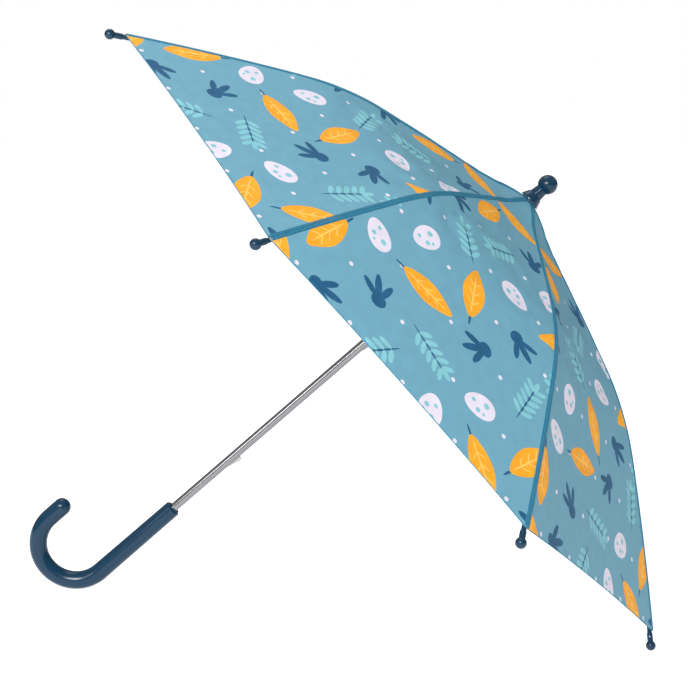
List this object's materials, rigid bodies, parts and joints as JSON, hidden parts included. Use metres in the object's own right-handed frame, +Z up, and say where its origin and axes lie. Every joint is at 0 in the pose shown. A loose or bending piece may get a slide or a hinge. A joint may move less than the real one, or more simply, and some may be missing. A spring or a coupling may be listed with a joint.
{
  "type": "stick umbrella",
  "caption": "Child's stick umbrella with ribs folding on a sliding runner, a crook handle and a ball-topped ferrule, resting open on the floor.",
  "frame": {"origin": "on the floor, under the middle of the open umbrella as it rests on two rib tips and the crook", "axes": "+Z up, +X from the crook towards the canopy, +Y across the canopy; the shaft lies in the XZ plane and rises towards +X"},
  "size_m": [0.5446, 0.6622, 0.4957],
  "materials": {
    "canopy_fabric": "matt woven polyester with a repeating print",
    "navy_plastic": "gloss",
    "runner_plastic": "satin",
    "chrome_tube": "polished",
    "rib_steel": "bright zinc"
  },
  "bodies": {
    "stick": {"shaft_tube": "chrome_tube", "handle": "navy_plastic", "crown": "runner_plastic", "crown_wire": "rib_steel", "inner_washer": "runner_plastic", "outer_washer": "runner_plastic", "ferrule": "navy_plastic"},
    "runner": {"runner": "runner_plastic", "runner_wire": "rib_steel"},
    "upper_catch": {"upper_catch": "rib_steel"},
    "lower_catch": {"lower_catch": "rib_steel"},
    "rib_1": {"rib_1": "rib_steel", "rib_rivet_1": "rib_steel", "tip_1": "navy_plastic", "canopy_panel_1": "canopy_fabric"},
    "stretcher_1": {"stretcher_1": "rib_steel"},
    "rib_2": {"rib_2": "rib_steel", "rib_rivet_2": "rib_steel", "tip_2": "navy_plastic", "canopy_panel_2": "canopy_fabric"},
    "stretcher_2": {"stretcher_2": "rib_steel"},
    "rib_3": {"rib_3": "rib_steel", "rib_rivet_3": "rib_steel", "tip_3": "navy_plastic", "canopy_panel_3": "canopy_fabric"},
    "stretcher_3": {"stretcher_3": "rib_steel"},
    "rib_4": {"rib_4": "rib_steel", "rib_rivet_4": "rib_steel", "tip_4": "navy_plastic", "canopy_panel_4": "canopy_fabric"},
    "stretcher_4": {"stretcher_4": "rib_steel"},
    "rib_5": {"rib_5": "rib_steel", "rib_rivet_5": "rib_steel", "tip_5": "navy_plastic", "canopy_panel_5": "canopy_fabric"},
    "stretcher_5": {"stretcher_5": "rib_steel"},
    "rib_6": {"rib_6": "rib_steel", "rib_rivet_6": "rib_steel", "tip_6": "navy_plastic", "canopy_panel_6": "canopy_fabric", "tie_strap": "canopy_fabric"},
    "stretcher_6": {"stretcher_6": "rib_steel"},
    "rib_7": {"rib_7": "rib_steel", "rib_rivet_7": "rib_steel", "tip_7": "navy_plastic", "canopy_panel_7": "canopy_fabric"},
    "stretcher_7": {"stretcher_7": "rib_steel"},
    "rib_8": {"rib_8": "rib_steel", "rib_rivet_8": "rib_steel", "tip_8": "navy_plastic", "canopy_panel_8": "canopy_fabric"},
    "stretcher_8": {"stretcher_8": "rib_steel"}
  },
  "joints": [
    {"name": "runner_slide", "type": "slide", "parent": "stick", "child": "runner", "axis": [-0.7455, 0, -0.6665], "range_m": [0, 0.2353]},
    {"name": "upper_catch_press", "type": "slide", "parent": "stick", "child": "upper_catch", "axis": [-0.6665, 0, 0.7455], "range_m": [0, 0.0028], "stiffness_N_per_m": 300, "springref_m": -0.004},
    {"name": "lower_catch_press", "type": "slide", "parent": "stick", "child": "lower_catch", "axis": [-0.6665, 0, 0.7455], "range_m": [0, 0.0028], "stiffness_N_per_m": 300, "springref_m": -0.004},
    {"name": "rib_1_fold", "type": "hinge", "parent": "stick", "child": "rib_1", "pos_m": [0.16012, -0.00383, 0.35841], "axis": [0.2551, -0.9239, -0.2853], "range_deg": [0, 64.5], "deforming": ["canopy_panel_1"]},
    {"name": "rib_2_fold", "type": "hinge", "parent": "stick", "child": "rib_2", "pos_m": [0.16373, -0.00924, 0.35437], "axis": [0.6158, -0.3827, -0.6887], "range_deg": [0, 64.5], "deforming": ["canopy_panel_2"]},
    {"name": "rib_3_fold", "type": "hinge", "parent": "stick", "child": "rib_3", "pos_m": [0.16883, -0.00924, 0.34867], "axis": [0.6158, 0.3827, -0.6887], "range_deg": [0, 64.5], "deforming": ["canopy_panel_3"]},
    {"name": "rib_4_fold", "type": "hinge", "parent": "stick", "child": "rib_4", "pos_m": [0.17244, -0.00383, 0.34463], "axis": [0.2551, 0.9239, -0.2853], "range_deg": [0, 64.5], "deforming": ["canopy_panel_4"]},
    {"name": "rib_5_fold", "type": "hinge", "parent": "stick", "child": "rib_5", "pos_m": [0.17244, 0.00383, 0.34463], "axis": [-0.2551, 0.9239, 0.2853], "range_deg": [0, 64.5], "deforming": ["canopy_panel_5"]},
    {"name": "rib_6_fold", "type": "hinge", "parent": "stick", "child": "rib_6", "pos_m": [0.16883, 0.00924, 0.34867], "axis": [-0.6158, 0.3827, 0.6887], "range_deg": [0, 64.5], "deforming": ["canopy_panel_6", "tie_strap"]},
    {"name": "rib_7_fold", "type": "hinge", "parent": "stick", "child": "rib_7", "pos_m": [0.16373, 0.00924, 0.35437], "axis": [-0.6158, -0.3827, 0.6887], "range_deg": [0, 64.5], "deforming": ["canopy_panel_7"]},
    {"name": "rib_8_fold", "type": "hinge", "parent": "stick", "child": "rib_8", "pos_m": [0.16012, 0.00383, 0.35841], "axis": [-0.2551, -0.9239, 0.2853], "range_deg": [0, 64.5], "deforming": ["canopy_panel_8"]},
    {"name": "stretcher_1_fold", "type": "hinge", "parent": "rib_1", "child": "stretcher_1", "pos_m": [0.01781, -0.06994, 0.44527], "axis": [0.2551, -0.9239, -0.2853], "range_deg": [-119.62, 0]},
    {"name": "stretcher_2_fold", "type": "hinge", "parent": "rib_2", "child": "stretcher_2", "pos_m": [0.08374, -0.16885, 0.37154], "axis": [0.6158, -0.3827, -0.6887], "range_deg": [-119.62, 0]},
    {"name": "stretcher_3_fold", "type": "hinge", "parent": "rib_3", "child": "stretcher_3", "pos_m": [0.17697, -0.16885, 0.26726], "axis": [0.6158, 0.3827, -0.6887], "range_deg": [-119.62, 0]},
    {"name": "stretcher_4_fold", "type": "hinge", "parent": "rib_4", "child": "stretcher_4", "pos_m": [0.2429, -0.06994, 0.19353], "axis": [0.2551, 0.9239, -0.2853], "range_deg": [-119.62, 0]},
    {"name": "stretcher_5_fold", "type": "hinge", "parent": "rib_5", "child": "stretcher_5", "pos_m": [0.2429, 0.06994, 0.19353], "axis": [-0.2551, 0.9239, 0.2853], "range_deg": [-119.62, 0]},
    {"name": "stretcher_6_fold", "type": "hinge", "parent": "rib_6", "child": "stretcher_6", "pos_m": [0.17697, 0.16885, 0.26726], "axis": [-0.6158, 0.3827, 0.6887], "range_deg": [-119.62, 0]},
    {"name": "stretcher_7_fold", "type": "hinge", "parent": "rib_7", "child": "stretcher_7", "pos_m": [0.08374, 0.16885, 0.37154], "axis": [-0.6158, -0.3827, 0.6887], "range_deg": [-119.62, 0]},
    {"name": "stretcher_8_fold", "type": "hinge", "parent": "rib_8", "child": "stretcher_8", "pos_m": [0.01781, 0.06994, 0.44527], "axis": [-0.2551, -0.9239, 0.2853], "range_deg": [-119.62, 0]}
  ],
  "couplings": [
    {"joint": "rib_1_fold", "follows": "runner_slide", "rad_per_m": 4.7843},
    {"joint": "rib_2_fold", "follows": "runner_slide", "rad_per_m": 4.7843},
    {"joint": "rib_3_fold", "follows": "runner_slide", "rad_per_m": 4.7843},
    {"joint": "rib_4_fold", "follows": "runner_slide", "rad_per_m": 4.7843},
    {"joint": "rib_5_fold", "follows": "runner_slide", "rad_per_m": 4.7843},
    {"joint": "rib_6_fold", "follows": "runner_slide", "rad_per_m": 4.7843},
    {"joint": "rib_7_fold", "follows": "runner_slide", "rad_per_m": 4.7843},
    {"joint": "rib_8_fold", "follows": "runner_slide", "rad_per_m": 4.7843},
    {"joint": "stretcher_1_fold", "follows": "runner_slide", "rad_per_m": -8.873},
    {"joint": "stretcher_2_fold", "follows": "runner_slide", "rad_per_m": -8.873},
    {"joint": "stretcher_3_fold", "follows": "runner_slide", "rad_per_m": -8.873},
    {"joint": "stretcher_4_fold", "follows": "runner_slide", "rad_per_m": -8.873},
    {"joint": "stretcher_5_fold", "follows": "runner_slide", "rad_per_m": -8.873},
    {"joint": "stretcher_6_fold", "follows": "runner_slide", "rad_per_m": -8.873},
    {"joint": "stretcher_7_fold", "follows": "runner_slide", "rad_per_m": -8.873},
    {"joint": "stretcher_8_fold", "follows": "runner_slide", "rad_per_m": -8.873}
  ]
}
